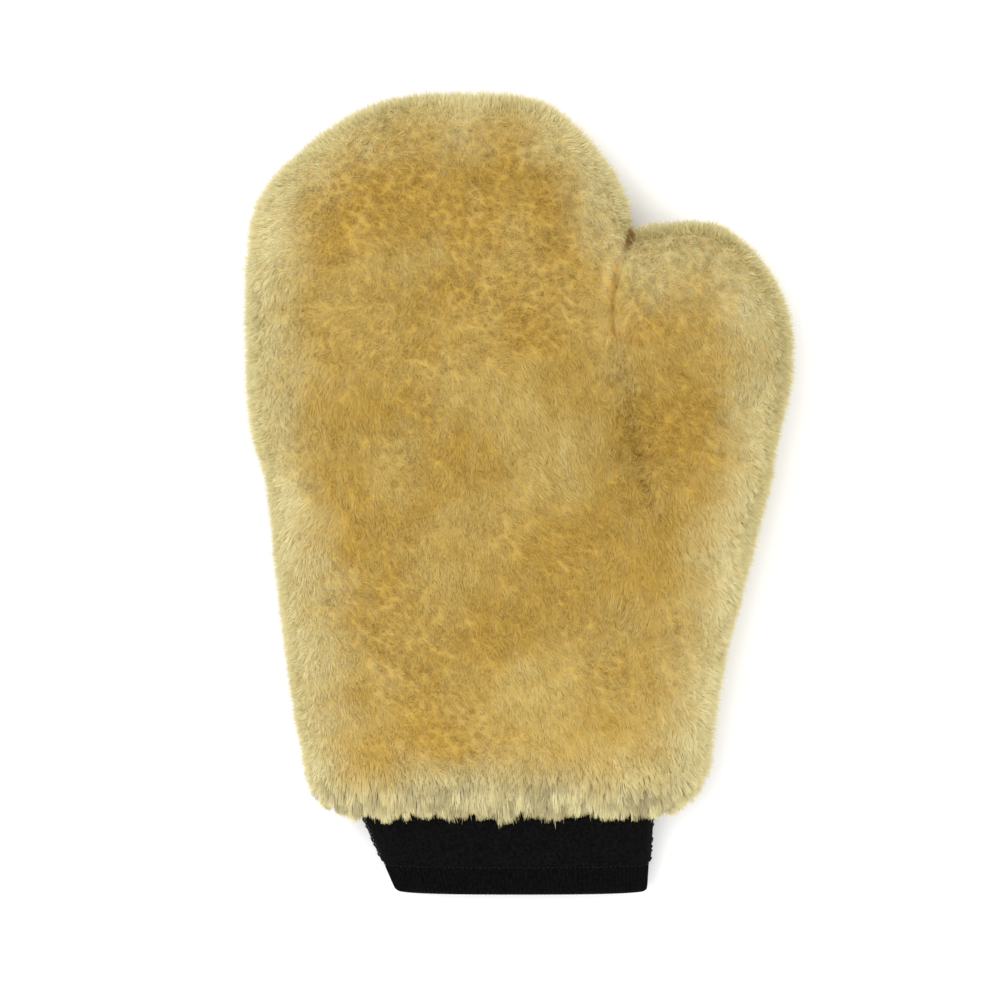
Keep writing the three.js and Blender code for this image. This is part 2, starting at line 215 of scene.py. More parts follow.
def pillow_grid(pillow, rings, side):
    """Rows of points over half a pillow, from its peak to its rim at the seam's height."""
    phi = np.linspace(0, math.pi / 2, rings + 1)[1:]
    reach = np.sin(phi) ** (2 / WOOL_POWER)
    rise = np.cos(phi) ** (2 / WOOL_POWER) * pillow_height(side)
    rise[-1] = 0
    flat = pillow.middle + (pillow.loop[None] - pillow.middle) * reach[:, None, None]
    height = np.broadcast_to(SEAM_Z + side * rise[:, None], flat.shape[:2])
    return np.dstack([flat, height])


def inside_loop(points, loop):
    """Whether points lie inside a closed outline, by crossings."""
    result = np.zeros(len(points), bool)
    ends = np.roll(loop, -1, axis=0)
    for (ax, ay), (bx, by) in zip(loop, ends):
        if ay == by:
            continue
        crosses = (ay > points[:, 1]) != (by > points[:, 1])
        at = ax + (points[:, 1] - ay) * (bx - ax) / (by - ay)
        result ^= crosses & (points[:, 0] < at)
    return result


def reach_in(points, pillow):
    """The share of the way from a pillow's middle to its outline that points have."""
    angle = np.arctan2(*(pillow.loop - pillow.middle).T[::-1])
    order = np.argsort(angle)
    far = np.linalg.norm(pillow.loop - pillow.middle, axis=1)[order]
    away = points - pillow.middle
    edge = np.interp(np.arctan2(away[:, 1], away[:, 0]), angle[order], far, period=2 * math.pi)
    return np.linalg.norm(away, axis=1) / edge


def outline_distance(points, loop):
    """Distance to the nearest point of an outline."""
    tree = kdtree.KDTree(len(loop))
    for i, (x, y) in enumerate(loop):
        tree.insert((x, y, 0), i)
    tree.balance()
    return np.array([tree.find((x, y, 0))[2] for x, y in points])


def lumps(points, size, seed):
    """Smooth noise with lumps of a size, the same for the same seed."""
    offset = Vector((seed * 13.7, seed * 7.1, seed * 3.3))
    return np.array([noise.noise(Vector(p) / size + offset) for p in points])


def vector_field(points, size, seed):
    """Smooth noise with a direction, the same for the same seed."""
    offset = Vector((seed * 17.3, seed * 5.9, seed * 9.1))
    return np.array([noise.noise_vector(Vector(p) / size + offset) for p in points])


def parting_share(points):
    """1 on the line where the thumb's pile and the fingers' part, in a broken line, and 0 beside it."""
    near = np.full(len(points), np.inf)
    for a, b in zip(PARTING[:-1], PARTING[1:]):
        t = np.clip((points - a) @ (b - a) / ((b - a) @ (b - a)), 0, 1)
        near = np.minimum(near, np.linalg.norm(points - a - t[:, None] * (b - a), axis=1))
    broken = 0.62 + 0.9 * lumps(np.column_stack([points, np.zeros(len(points))]), 7.0, 9)
    return np.exp(-((near / PARTING_WIDTH) ** 2)) * np.clip(broken, 0, 1)


def in_thumb_space(points, on_thumb):
    """Whether points belong to the thumb: round its gusset, or on its own pile past the crotch."""
    gusset = np.linalg.norm(points - THUMB_PIVOT, axis=1) < GUSSET_RADIUS
    beside = (points[:, 0] > THUMB_PIVOT[0]) & (points[:, 1] > THUMB_ROOT_Y)
    return gusset | beside | (on_thumb & (points[:, 1] > CROTCH_Y))


MITT_EDGE = np.vstack([
    HAND.loop[~inside_loop(HAND.loop, THUMB.loop)],
    THUMB.loop[~inside_loop(THUMB.loop, HAND.loop)],
])


def slit_x(points):
    """The slit's place across the mitt, at each point's distance along it."""
    return np.interp(points[:, 1], SLIT[:, 1], SLIT[:, 0])


def edge_tone(points):
    """Distance in from the edge as the wool's colour takes it: the thumb is paler, and the top edge less
    pale, as painted shade.
    """
    thumb = smoothstep(48, 75, points[:, 1]) * smoothstep(0, 8, points[:, 0] - slit_x(points))
    # painted shade: the top edge counts as further in, so it stays less pale than the sides
    top = smoothstep(118, 134, points[:, 1])
    return outline_distance(points[:, :2], MITT_EDGE) - 9.0 * thumb + 5.0 * top


# ---- Roots: the outside of the leather, from the CAD model ------------------------------------

PELTS = ("palm_pelt", "back_pelt", "thumb_palm_pelt", "thumb_back_pelt")


def leather_tree():
    points, faces = [], []
    for node in PELTS:
        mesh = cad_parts[node].data
        base = len(points)
        points += [v.co / MM for v in mesh.vertices]
        faces += [[base + i for i in p.vertices] for p in mesh.polygons]
    return BVHTree.FromPolygons(points, faces)


LEATHER = leather_tree()


def on_leather(points):
    return np.array([LEATHER.find_nearest(Vector(p))[0] for p in points])


def nearest_leather(rows, passes=30):
    """For a grid of points over the pile, their places on the leather, evened out over neighbours."""
    rise = rows - on_leather(rows.reshape(-1, 3)).reshape(rows.shape)
    for _ in range(passes):
        rise = (np.roll(rise, 1, 1) + 2 * rise + np.roll(rise, -1, 1)) / 4
        rise[1:-1] = (rise[:-2] + 2 * rise[1:-1] + rise[2:]) / 4
    return rows - rise


# ---- Under-wool: the packed lower part of the pile, as one lumpy body under each set of fibres --

def under_share(points, normals):
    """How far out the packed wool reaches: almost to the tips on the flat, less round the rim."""
    share = PACKED_AT_RIM + PACKED_MORE_ON_FLAT * flatness(normals)
    beside = 1 - smoothstep(2.0, 7.0, np.abs(points[:, 0] - slit_x(points)))
    beside *= smoothstep(50, 57, points[:, 1]) * (1 - smoothstep(84, 94, points[:, 1]))
    fringe = near_wrist(points[:, 1], -6.0, 16.0)
    return share - PACKED_LESS_IN_FRINGE * fringe + (PACKED_IN_SLIT - share) * beside


def swell_of(points):
    """The gentle unevenness of the pile's length, as a share of it."""
    return 0.020 * lumps(points, 15.0, 1) + 0.016 * lumps(points, 6.0, 2)


def grid_normals(rows):
    """Outward normals of a closed grid of points, by the differences between neighbours."""
    down = np.gradient(rows, axis=0)
    sideways = np.roll(rows, -1, 1) - np.roll(rows, 1, 1)
    return unit(np.cross(sideways, down))


def under_wool(pillow, rings=64):
    """A closed pillow drawn in towards the leather, open at the wrist where the cuff comes out."""
    top = pillow_grid(pillow, rings, 1)
    low = pillow_grid(pillow, rings, -1)[::-1][1:]
    rows = np.vstack([top, low])
    peaks = np.array([[*pillow.middle, SEAM_Z + side * pillow_height(side)] for side in (1, -1)])
    points = np.vstack([rows.reshape(-1, 3), peaks])
    roots = np.vstack([nearest_leather(rows).reshape(-1, 3), on_leather(peaks)])
    normals = np.vstack([grid_normals(rows).reshape(-1, 3), [[0, 0, 1], [0, 0, -1]]])
    share = under_share(points, normals) + swell_of(points)
    past_wrist = points[:, 1] < WRIST_Y
    off_seam = np.abs(points[:, 2] - SEAM_Z)
    share = np.where(past_wrist, share * smoothstep(MOUTH_HALF, MOUTH_EDGE, off_seam), share)
    mouth = past_wrist & (off_seam < MOUTH_HALF)

    columns = len(pillow.loop)
    grid = np.arange(len(rows) * columns).reshape(len(rows), columns)
    faces = grid_faces(grid)
    faces = faces[~mouth[faces].all(axis=1)]
    top_peak, low_peak = (np.full(columns, len(points) - k) for k in (2, 1))
    caps = np.vstack([
        np.column_stack([top_peak, grid[0], np.roll(grid[0], -1)]),
        np.column_stack([low_peak, np.roll(grid[-1], -1), grid[-1]]),
    ])
    return roots + (points - roots) * share[:, None], faces, caps


# ---- The cuff's wall, which the pile hangs over ---------------------------------------------

def signed_power(values, power):
    return np.sign(values) * np.abs(values) ** power


def cuff_ring(along, depth, share, around=1441, step=0.4):
    """Points round the cuff's wall: along it, under its outside, at shares of the way round."""
    t = along / CUFF_LENGTH
    half = [WRIST_HALF[k] + (HEM_HALF[k] - WRIST_HALF[k]) * t for k in (0, 1)]
    centre = (WRIST_X + (HEM_X - WRIST_X) * t, SEAM_Z + (HEM_HALF[1] - SEAM_Z) * t)
    angle = np.linspace(0, 2 * math.pi, around)
    ring = np.column_stack([
        size * signed_power(wave(angle), 2 / RING_POWER) for size, wave in zip(half, (np.cos, np.sin))
    ])
    run = np.r_[0, np.cumsum(np.linalg.norm(np.diff(ring, axis=0), axis=1))]
    at = share % 1 * run[-1]
    place, ahead, back = (
        np.column_stack([np.interp(where, run, ring[:, k]) for k in (0, 1)])
        for where in (at, (at + step) % run[-1], (at - step) % run[-1])
    )
    tangent = unit(ahead - back)
    outward = np.column_stack([tangent[:, 1], -tangent[:, 0]])
    flat = place - outward * np.asarray(depth)[..., None] + centre
    return np.column_stack([flat[:, 0], np.full(len(flat), WRIST_Y - along), flat[:, 1]])


# ---- Fibres: where their tips and roots are -----------------------------------------------------

def sample_pillow(pillow, side, density, rings=40):
    """Random points over half a pillow, their normals, and their places on the leather."""
    rows = pillow_grid(pillow, rings, side)
    centre = np.broadcast_to([*pillow.middle, SEAM_Z + side * pillow_height(side)], rows[:1].shape)
    rows = np.concatenate([centre, rows])
    a, b, c, d = cell_corners(rows)
    area = np.linalg.norm(np.cross(c - a, d - b), axis=-1).ravel() / 2
    count = int(area.sum() * density)
    cell = RNG.choice(len(area), count, p=area / area.sum())
    u, v = RNG.random((2, count, 1))
    reach = np.linalg.norm(rows[:, 0, :2] - pillow.middle, axis=1)
    near, far = (reach[cell // len(pillow.loop) + k][:, None] for k in (0, 1))
    u = (np.sqrt(near**2 + u * (far**2 - near**2)) - near) / np.maximum(far - near, 1e-6)

    def chosen_corners(grid):
        return [corner.reshape(-1, 3)[cell] for corner in cell_corners(grid)]

    def within(a, b, c, d):
        return (a * (1 - u) + b * u) * (1 - v) + (d * (1 - u) + c * u) * v

    a, b, c, d = chosen_corners(rows)
    points = within(a, b, c, d)
    roots = within(*chosen_corners(nearest_leather(rows)))
    normals = unit(np.cross(b - a + c - d, d - a + c - b)) * side
    inward = np.sum(normals * (points - [*pillow.middle, SEAM_Z]), axis=1) < 0
    normals[inward] *= -1
    return points, normals, roots


def pillow_tips():
    """The fibres of each half of each pillow, kept where they reach the outside of the pile."""
    for side, density in ((1, PALM_DENSITY), (-1, BACK_DENSITY)):
        for pillow, other in ((HAND, THUMB), (THUMB, HAND)):
            points, normals, roots = sample_pillow(pillow, side, density)
            reach = np.minimum(reach_in(points[:, :2], other), 1)
            cover = (1 - reach**WOOL_POWER) ** (1 / WOOL_POWER) * pillow_height(side)
            rise = (points[:, 2] - SEAM_Z) * side
            buried = inside_loop(points[:, :2], other.loop) & (rise < cover - 0.4)
            kept = ~buried | (points[:, 1] > CROTCH_Y)
            share = np.clip(0.5 + (rise - cover) / (2 * VALLEY), 0, 1)
            below_crotch = 1 - smoothstep(CROTCH_Y - 5, CROTCH_Y + 10, points[:, 1])
            points[:, 2] += side * VALLEY * share * (1 - share) * below_crotch
            ones = np.ones(kept.sum())
            yield points[kept], normals[kept], roots[kept], side * ones, (pillow is THUMB) * ones


def skirt():
    """Fibres that hang round the cuff, rooted at the leather's cut edge."""
    count = int(SKIRT_FIBRES * PALM_DENSITY)
    share = RNG.random(count)
    out = RNG.uniform(0.5, 8.5, count)
    roots = cuff_ring(-2.0, -0.6 * out - 0.2, share)
    tips = cuff_ring(9.0, -out, share)
    tips[:, 1] += RNG.normal(0, 1.6, count) + 0.25 * out
    normals = unit(tips - roots)
    return tips, normals, roots, np.where(tips[:, 2] > SEAM_Z, 1, -1), np.zeros(count)


def all_tips():
    """Tips, normals, roots, sides and owners of all fibres, with none in the cuff's mouth."""
    pile = [np.concatenate(parts) for parts in zip(*pillow_tips())]
    tips = pile[0]
    mouth = (tips[:, 1] < WRIST_Y) & (np.abs(tips[:, 2] - SEAM_Z) < MOUTH_HALF + 1)
    mouth &= np.abs(tips[:, 0] - WRIST_X) < WRIST_HALF[0] - 3
    pile = [values[~mouth] for values in pile]
    return [np.concatenate(parts) for parts in zip(pile, skirt())]


# ---- Fibres: how they lean, gather and end ------------------------------------------------------

Groups = namedtuple("Groups", "seeds member")


def group_tips(points, share):
    """Groups of neighbours: some of the points, chosen at random, and the nearest of them to each."""
    seeds = RNG.choice(len(points), max(8, int(len(points) * share)), replace=False)
    tree = kdtree.KDTree(len(seeds))
    for i, place in enumerate(points[seeds]):
        tree.insert(place, i)
    tree.balance()
    return Groups(seeds, np.array([tree.find(p)[1] for p in points]))


def group_normal(groups, spread, *shape):
    """One random draw for each group, handed to all its members."""
    return RNG.normal(0, spread, (len(groups.seeds), *shape))[groups.member]


def lean_of(tips, normals, flat, tuft, wisp):
    """How far each tip leans along the pile's outside: with its tuft, with its wisp, and alone."""
    flow = 2.2 * vector_field(tips[tuft.seeds], 34.0, 3) + PILE_COMB
    lean = flow[tuft.member] + group_normal(tuft, 0.25, 3)
    lean = lean + group_normal(wisp, 0.5, 3)
    lean = lean + RNG.normal(0, 0.5, tips.shape)
    lean = lean * (0.45 + 0.55 * flat) + RNG.normal(0, 0.8, tips.shape) * (1 - flat)
    return lean - normals * np.sum(lean * normals, axis=1, keepdims=True)


def pull_of(tips, combed, tuft, wisp, lock):
    """How far each tip is drawn in to its wisp and its tuft and, in the fringe, to its lock."""
    to_tuft, to_wisp, to_lock = (tips[g.seeds][g.member] - tips for g in (tuft, wisp, lock))
    pull = to_wisp * RNG.uniform(0.1, 0.5, (len(tips), 1))
    pull += to_tuft * (RNG.uniform(0.0, 0.08, (len(tips), 1)) + 0.12 * combed)
    return pull + to_lock * 0.5 * combed


def length_of(tips, combed, flat, parting, tuft, wisp, lock):
    """Where each fibre is sheared, as a share of the pile's depth: evenly, but raggedly in the fringe."""
    length = 1 + group_normal(tuft, 0.010)
    length += group_normal(wisp, 0.012)
    length += RNG.normal(0, 0.014, len(tips)) * (4.2 - 3.2 * flat) + swell_of(tips)
    ragged = group_normal(tuft, 0.06)
    ragged += group_normal(lock, 0.09)
    return np.minimum(length + combed * ragged, LONGEST) - 0.05 * parting


def grow_pile():
    """Every fibre: its course, which way its ribbon faces, where it belongs, and its colour's tones."""
    tips, normals, roots, sides, on_thumb = all_tips()
    parting = parting_share(tips[:, :2])
    tuft, wisp, lock = (group_tips(tips, share) for share in (TUFT_SHARE, WISP_SHARE, LOCK_SHARE))
    flat = flatness(normals)
    combed = near_wrist(tips[:, 1])

    sway = lean_of(tips, normals, flat[:, None], tuft, wisp) + combed[:, None] * FRINGE_COMB
    sway += pull_of(tips, combed[:, None], tuft, wisp, lock)
    end = length_of(tips, combed, flat, parting, tuft, wisp, lock)
    start = under_share(tips, normals) - ROOT_OVERLAP
    share = start[:, None] + (end - start)[:, None] * ALONG
    course = roots[:, None] + (tips - roots)[:, None] * share[..., None]
    course += sway[:, None] * ALONG[None, :, None] ** 1.4
    course[..., 2] = np.maximum(course[..., 2], FLOOR_GAP)

    fringe = combed * RNG.random(len(lock.seeds))[lock.member]
    tuft_tone = RNG.random(len(tips))[tuft.member]
    wisp_tone = RNG.random(len(tips))[wisp.member]
    upward = 2 * smoothstep(-0.8, -0.4, normals[:, 2]) - 1
    return SimpleNamespace(
        course=course,
        facing=unit(normals + 0.8 * upward[:, None] * [0, 0, 1]),
        y=tips[:, 1],
        over=sides > 0,
        thumb=in_thumb_space(tips[:, :2], on_thumb > 0.5),
        tones={
            "edge_gap": edge_tone(tips),
            "lock": 0.5 * tuft_tone + 0.5 * wisp_tone,
            "strand": RNG.random(len(tips)),
            "parting": parting,
            "fringe": fringe,
        },
    )


FIBRES = grow_pile()


# ---- Materials --------------------------------------------------------------------------------

AMBER = (0.590, 0.402, 0.088)
HONEY = (0.670, 0.522, 0.185)
CREAM = (0.750, 0.690, 0.400)
# painted shade: the red-brown of crevices and partings in the pile
PARTING_SHADE = (0.36, 0.16, 0.025)
# painted shade: the darker colour the packed wool is mixed towards
PACKED_SHADE = (0.38, 0.250, 0.058)
DRAB = (0.34, 0.29, 0.16)


def new_material(name, roughness, specular=0.5, color=(0.5, 0.5, 0.5)):
    material = bpy.data.materials.new(name)
    material.use_nodes = True
    shader = material.node_tree.nodes["Principled BSDF"]
    shader.inputs["Roughness"].default_value = roughness
    shader.inputs["Specular IOR Level"].default_value = specular
    shader.inputs["Base Color"].default_value = (*color, 1)
    return material, material.node_tree, shader


def add_node(tree, kind, **settings):
    """A node with its settings, and its inputs' values where a key begins with in_."""
    node = tree.nodes.new(kind)
    for key, value in settings.items():
        if key.startswith("in_"):
            node.inputs[key[3:]].default_value = value
        else:
            setattr(node, key, value)
    return node


def stored(tree, key):
    """A value that the mesh holds at each of its points."""
    return add_node(tree, "ShaderNodeAttribute", attribute_name=key).outputs["Fac"]


def mixed_colors(tree, factor, a, b):
    """A colour between a and b, each a colour or a socket, by a number or a socket."""
    mix = add_node(tree, "ShaderNodeMix", data_type="RGBA")
    for value, index in ((factor, 0), (a, 6), (b, 7)):
        if isinstance(value, float):
            mix.inputs[index].default_value = value
        elif isinstance(value, tuple):
            mix.inputs[index].default_value = (*value, 1)
        else:
            tree.links.new(value, mix.inputs[index])
    return mix.outputs[2]


def ranged(tree, value, low, high, out_low=0.0, out_high=1.0):
    node = add_node(tree, "ShaderNodeMapRange", interpolation_type="SMOOTHSTEP")
    for index, number in enumerate((low, high, out_low, out_high), 1):
        node.inputs[index].default_value = number
    tree.links.new(value, node.inputs[0])
    return node.outputs[0]


def layered(tree, color, *layers):
    """A colour with others laid over it: each by a value, its span, and the shares at its ends."""
    for tint, value, span, shares in layers:
        color = mixed_colors(tree, ranged(tree, value, *span, *shares), color, tint)
    return color


def noise_value(tree, scale, detail=3.0, offset=(0, 0, 0), stretch=(1, 1, 1), distortion=0.0):
    place = add_node(tree, "ShaderNodeTexCoord")
    shift = add_node(tree, "ShaderNodeMapping", in_Location=offset, in_Scale=stretch)
    tree.links.new(place.outputs["Object"], shift.inputs["Vector"])
    node = add_node(
        tree, "ShaderNodeTexNoise", in_Scale=scale, in_Detail=detail, in_Distortion=distortion
    )
    tree.links.new(shift.outputs[0], node.inputs["Vector"])
    return node.outputs["Fac"]


def streaks(tree, scale, detail, stretch):
    """Noise drawn out along the mitt's length, as combed wool is."""
    return noise_value(tree, scale, detail, stretch=(1, stretch, 1), distortion=0.4)


def add_bump(tree, shader, height, strength, distance):
    bump = add_node(tree, "ShaderNodeBump", in_Strength=strength, in_Distance=distance)
    tree.links.new(height, bump.inputs["Height"])
    tree.links.new(bump.outputs[0], shader.inputs["Normal"])


def wool_color(tree):
    """Amber in patches, honey between them, cream near the mitt's edges, and painted shade in red-brown:
    in thin streaks of crevices, and along its partings.
    """
    patches = noise_value(tree, 24.0, 4.0, (0.31, 0.12, 0.0))
    edge = add_node(tree, "ShaderNodeMath", operation="MULTIPLY_ADD")
    tree.links.new(noise_value(tree, 55.0), edge.inputs[0])
    edge.inputs[1].default_value = 26.0  # how many millimetres the cream's border wanders over
    tree.links.new(stored(tree, "edge_gap"), edge.inputs[2])
    return layered(
        tree, AMBER,
        (HONEY, patches, (0.36, 0.64), (0.0, 1.0)),
        (CREAM, edge.outputs[0], (17.0, 44.0), (1.0, 0.0)),
        (AMBER, streaks(tree, 420.0, 3.0, 0.22), (0.35, 0.68), (0.0, 0.14)),
        (CREAM, streaks(tree, 160.0, 3.0, 0.35), (0.52, 0.75), (0.0, 0.16)),
        (DRAB, stored(tree, "fringe"), (0.05, 1.0), (0.0, 0.85)),
        # painted shade: red-brown crevices where the fibres part, drawn from streak noise
        (PARTING_SHADE, streaks(tree, 210.0, 2.0, 0.6), (0.27, 0.34), (0.28, 0.0)),
        # painted shade: the groove along the parting line, darkened red-brown
        (PARTING_SHADE, stored(tree, "parting"), (0.1, 0.9), (0.0, 0.85)),
    )


def fibre_wool():
    material, tree, shader = new_material("wool_fibres", 0.85, specular=0.0)
    color = layered(
        tree, wool_color(tree),
        (CREAM, stored(tree, "lock"), (0.1, 0.9), (0.0, 0.10)),
        (AMBER, stored(tree, "strand"), (0.0, 1.0), (0.12, 0.0)),
    )
    tree.links.new(color, shader.inputs["Base Color"])
    return material


def packed_wool():
    material, tree, shader = new_material("packed_wool", 0.85, specular=0.0)
    shader.inputs["Subsurface Weight"].default_value = 0.35
    shader.inputs["Subsurface Radius"].default_value = (1.0, 0.55, 0.25)
    shader.inputs["Subsurface Scale"].default_value = 0.003
    # painted shade: red-brown crevices where the packed wool parts
    crack_shade = (PARTING_SHADE, streaks(tree, 230.0, 5.0, 0.5), (0.30, 0.40), (0.3, 0.0))
    color = layered(tree, wool_color(tree), crack_shade)
    # painted shade: the packed wool darkened, for the shadow of the fibres over it
    tree.links.new(mixed_colors(tree, 0.55, color, PACKED_SHADE), shader.inputs["Base Color"])
    add_bump(tree, shader, streaks(tree, 500.0, 4.0, 0.25), 0.35, 0.0006)
    return material


def flecked(name, roughness, specular, scale, detail, dark, pale):
    """A material that wavers finely between two colours."""
    material, tree, shader = new_material(name, roughness, specular)
    fleck = noise_value(tree, scale, detail)
    tree.links.new(mixed_colors(tree, fleck, dark, pale), shader.inputs["Base Color"])
    return material


def black_knit():
    material, tree, shader = new_material("black_knit", 0.88, specular=0.045)
    shader.inputs["Sheen Weight"].default_value = 0.002
    shader.inputs["Sheen Roughness"].default_value = 0.6
    fuzz = noise_value(tree, 900.0, 4.0)
    dark, pale = (0.0012, 0.0011, 0.0011), (0.0045, 0.0042, 0.0042)
    color = mixed_colors(tree, ranged(tree, fuzz, 0.3, 0.7), dark, pale)
    tree.links.new(color, shader.inputs["Base Color"])
    add_bump(tree, shader, fuzz, 0.5, 0.0002)
    return material


WOOL = fibre_wool()
PACKED_WOOL = packed_wool()
SUEDE = flecked("sueded_leather", 0.92, 0.5, 700.0, 4.0, (0.50, 0.37, 0.22), (0.66, 0.52, 0.35))
SEAM_THREAD = flecked("seam_thread", 0.8, 0.5, 1500.0, 2.0, (0.45, 0.36, 0.22), (0.66, 0.56, 0.40))
KNIT = black_knit()
BLACK_THREAD = flecked("black_thread", 0.7, 0.12, 1800.0, 2.0, (0.003,) * 3, (0.011,) * 3)


# ---- The pile ---------------------------------------------------------------------------------

def place_thumb_piece(piece):
    """The thumb's wool, with its placement baked into its points."""
    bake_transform(piece)


def place_wrist_piece(piece):
    """What lies over the wrist, with its placement baked into its points."""
    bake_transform(piece)


def ribbons(course, across):
    """Flat tapering ribbons along rows of points."""
    count, levels = course.shape[:2]
    half = across[:, None] * FIBRE_WIDTH[None, :, None] / 2
    points = np.stack([course - half, course + half], axis=2).reshape(-1, 3)
    base = np.arange(count)[:, None] * levels * 2 + np.arange(levels - 1) * 2
    faces = np.stack([base, base + 1, base + 3, base + 2], axis=-1).reshape(-1, 4)
    return points, faces


def fibre_uv(piece, count):
    """A place of its own in the unit square for each fibre, so that none share a colour."""
    side = math.ceil(math.sqrt(count))
    spans = len(ALONG) - 1
    cell = np.arange(count)
    base = np.column_stack([cell % side, cell // side])
    corner = np.array([[0.15, 0], [0.85, 0], [0.85, 1], [0.15, 1]])
    v = (np.arange(spans)[:, None] + corner[None, :, 1]) / spans * 0.8 + 0.1
    u = np.broadcast_to(corner[None, :, 0], v.shape)
    place = (base[:, None, None] + np.stack([u, v], -1)[None]) / side
    layer = piece.data.uv_layers.new(name="OFBake")
    layer.data.foreach_set("uv", place.astype(np.float32).ravel())


def fibre_piece(name, chosen):
    course = FIBRES.course[chosen]
    twist = RNG.normal(0, 0.25, (len(chosen), 3))
    across = unit(np.cross(course[:, -1] - course[:, 0], FIBRES.facing[chosen] + twist))
    piece = mesh_piece(name, *ribbons(course, across))
    for key, values in FIBRES.tones.items():
        set_attribute(piece, key, np.repeat(values[chosen], len(ALONG) * 2))
    fibre_uv(piece, len(chosen))
    piece.data.materials.append(WOOL)
    return piece


def pile(name, mask, body, node):
    """The fibres of one panel, in pieces from the wrist to the fingers."""
    chosen = np.flatnonzero(mask)
    order = chosen[np.argsort(FIBRES.y[chosen])]
    parts = np.array_split(order, max(1, math.ceil(len(chosen) / MOST_FIBRES)))
    for number, part in enumerate(parts):
        piece = fibre_piece(f"{name}_{number + 1}", part)
        if body == "thumb":
            place_thumb_piece(piece)
        elif number == 0:
            place_wrist_piece(piece)
        else:
            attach(piece, body)
        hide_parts(node)


def packed_piece(name, pillow, place, nodes):
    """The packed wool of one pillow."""
    points, faces, caps = under_wool(pillow)
    piece = mesh_piece(name, points, faces, caps)
    piece.data.validate()
    set_attribute(piece, "edge_gap", edge_tone(points))
    set_attribute(piece, "fringe", 0.5 * near_wrist(points[:, 1]))
    set_attribute(piece, "parting", parting_share(points[:, :2]))
    piece.data.materials.append(PACKED_WOOL)
    place(piece)
    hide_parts(*nodes)


pile("palm_pile", ~FIBRES.thumb & FIBRES.over, "hand", "palm_wool")
pile("back_pile", ~FIBRES.thumb & ~FIBRES.over, "hand", "back_wool")
pile("thumb_palm_pile", FIBRES.thumb & FIBRES.over, "thumb", "thumb_palm_wool")
pile("thumb_back_pile", FIBRES.thumb & ~FIBRES.over, "thumb", "thumb_back_wool")
packed_piece("hand_under_wool", HAND, place_wrist_piece, ("palm_wool", "back_wool"))
packed_piece("thumb_under_wool", THUMB, place_thumb_piece, ("thumb_palm_wool", "thumb_back_wool"))


# ---- The CAD model's own nodes that stay visible ------------------------------------------------

def dress(material, *nodes):
    for node in nodes:
        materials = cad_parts[node].data.materials
        materials.clear()
        materials.append(material)


dress(SUEDE, *PELTS)
dress(SEAM_THREAD, "finger_seam", "side_seam", "thumb_seam", "wrist_seam")
dress(SEAM_THREAD, "thumb_palm_gusset_seam", "thumb_back_gusset_seam")
dress(KNIT, "cuff_elastic")


# ---- The cuff ---------------------------------------------------------------------------------

RIBS = 140
POINTS_PER_RIB = 6
KNIT_VALLEY, HEM_VALLEY = 0.18, 0.70  # how deep it is between the ribs
KNIT_TOP = -9.0  # where the knit starts inside the mitt, along the cuff
HEM_SEAM = 31.6
HEM_GROOVE = 0.5
COURSE = 0.5  # from one course of the knit's stitches to the next
FOLD_STEPS = 8
INSIDE_ROWS = 30


def build_cuff():
    """The cuff's whole wall: its outside down to the hem, the fold, and back up the inside."""
    columns = RIBS * POINTS_PER_RIB
    share = np.arange(columns) / columns
    rib = 0.5 + 0.5 * np.cos(2 * math.pi * RIBS * share)
    turn_at = CUFF_LENGTH - CUFF_WALL / 2
    rows = []
    for along in np.arange(KNIT_TOP, turn_at, COURSE):
        hem = smoothstep(HEM_SEAM - 0.1, HEM_SEAM + 1.0, along)
        groove = HEM_GROOVE * math.exp(-((along - HEM_SEAM) / 0.45) ** 2)
        stitch = 0.045 * math.cos(math.pi * along / COURSE)
        valley = HEM_VALLEY * hem + KNIT_VALLEY * (1 - hem)
        rows.append(cuff_ring(along, valley * (1 - rib) + groove + (1 - hem) * stitch, share))
    for step in range(1, FOLD_STEPS):
        angle = math.pi * step / FOLD_STEPS
        depth = CUFF_WALL / 2 * (1 - math.cos(angle)) + HEM_VALLEY * (1 - rib) * math.cos(angle / 2) ** 2
        rows.append(cuff_ring(turn_at + CUFF_WALL / 2 * math.sin(angle), depth, share))
    for along in np.linspace(turn_at, KNIT_TOP, INSIDE_ROWS):
        rows.append(cuff_ring(along, np.full(columns, CUFF_WALL), share))
    grid = np.arange(len(rows) * columns).reshape(len(rows), columns)
    faces = grid_faces(np.vstack([grid, grid[:1]]))
    piece = mesh_piece("cuff_knit", np.vstack(rows), faces[:, ::-1])
    piece.data.materials.append(KNIT)
    place_wrist_piece(piece)
    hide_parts("cuff_palm_panel", "cuff_back_panel")


def threads(name, paths, radius, sides=6):
    """Round threads along a few paths of equal length, each closed with a point at its ends."""
    points, faces = [], []
    turn = np.linspace(0, 2 * math.pi, sides, endpoint=False)[None, :, None]
    for path in paths:
        tangent = unit(np.gradient(path, axis=0))
        first = unit(np.cross(tangent, np.roll(tangent, 1, axis=1) + [0.3, 0.1, 0.7]))
        second = np.cross(tangent, first)
        size = np.full(len(path), radius)
        size[[0, -1]] = radius * 0.2
        spoke = np.cos(turn) * first[:, None] + np.sin(turn) * second[:, None]
        ring = path[:, None] + size[:, None, None] * spoke
        grid = len(points) * sides * len(path) + np.arange(len(path) * sides).reshape(len(path), sides)
        faces.append(grid_faces(grid)[:, [0, 3, 2, 1]])
        points.append(ring.reshape(-1, 3))
    piece = mesh_piece(name, np.vstack(points), np.vstack(faces))
    piece.data.materials.append(BLACK_THREAD)
    return piece


def on_cuff(along, depth, share):
    """One point per row on the cuff's wall, at distances along it and shares of the way round."""
    return np.vstack([
        cuff_ring(a, np.array([d]), np.array([q])) for a, d, q in np.broadcast(along, depth, share)
    ])


